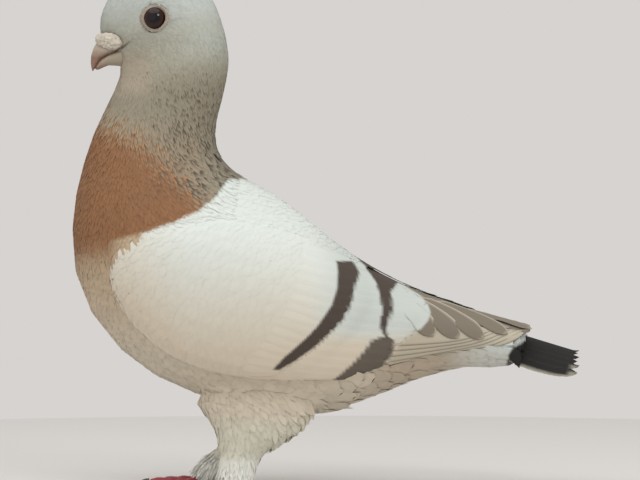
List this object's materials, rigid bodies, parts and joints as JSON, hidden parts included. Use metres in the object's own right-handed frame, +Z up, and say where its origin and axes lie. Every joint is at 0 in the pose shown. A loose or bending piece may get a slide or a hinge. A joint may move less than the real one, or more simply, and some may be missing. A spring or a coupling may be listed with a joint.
{
  "type": "domestic pigeon",
  "caption": "Life-size still model of a standing fancy pigeon with gold collar, white wing shields with dark bars, feathered shanks and crimson toes.",
  "frame": {"origin": "on the floor, midway between the bill side and the tail tip and midway across the wings", "axes": "+X towards the tail, so the bird faces -X; +Y towards its right side; +Z up"},
  "size_m": [0.2672, 0.1112, 0.2709],
  "materials": {
    "plumage_grey": "soft contour feathers, warm grey with darker hackle tips behind the neck",
    "plumage_ochre": "soft contour feathers, gold-brown collar",
    "plumage_cream": "soft contour feathers, grey-buff breast and belly, white back",
    "plumage_white": "smooth white wing coverts and leg feathers",
    "plumage_barred": "white greater coverts and secondaries with dark bars",
    "plumage_flight": "grey-brown flight feathers with pale edges",
    "plumage_tail": "pale grey tail feathers with a broad dark band",
    "bill_horn": "horn sheath, brown, lightly polished",
    "cere_skin": "white powdery cere skin",
    "eye_dark": "wet dark eye with clear cornea",
    "toe_scale": "crimson toe skin with scutes",
    "claw_horn": "dark horn claw"
  },
  "bodies": {
    "root": {"bill_lower": "bill_horn", "bill_upper": "bill_horn", "cere_left": "cere_skin", "cere_right": "cere_skin", "claw_left_hind": "claw_horn", "claw_left_inner": "claw_horn", "claw_left_middle": "claw_horn", "claw_left_outer": "claw_horn", "claw_right_hind": "claw_horn", "claw_right_inner": "claw_horn", "claw_right_middle": "claw_horn", "claw_right_outer": "claw_horn", "eye_left": "eye_dark", "eye_right": "eye_dark", "head": "plumage_grey", "neck": "plumage_ochre", "rump": "plumage_cream", "shank_left": "plumage_white", "shank_right": "plumage_white", "tail": "plumage_tail", "thigh_left": "plumage_cream", "thigh_right": "plumage_cream", "toe_left_hind": "toe_scale", "toe_left_inner": "toe_scale", "toe_left_middle": "toe_scale", "toe_left_outer": "toe_scale", "toe_right_hind": "toe_scale", "toe_right_inner": "toe_scale", "toe_right_middle": "toe_scale", "toe_right_outer": "toe_scale", "trunk": "plumage_cream", "wing_left_primaries": "plumage_flight", "wing_left_secondaries": "plumage_barred", "wing_left_shield": "plumage_white", "wing_right_primaries": "plumage_flight", "wing_right_secondaries": "plumage_barred", "wing_right_shield": "plumage_white"}
  },
  "joints": []
}
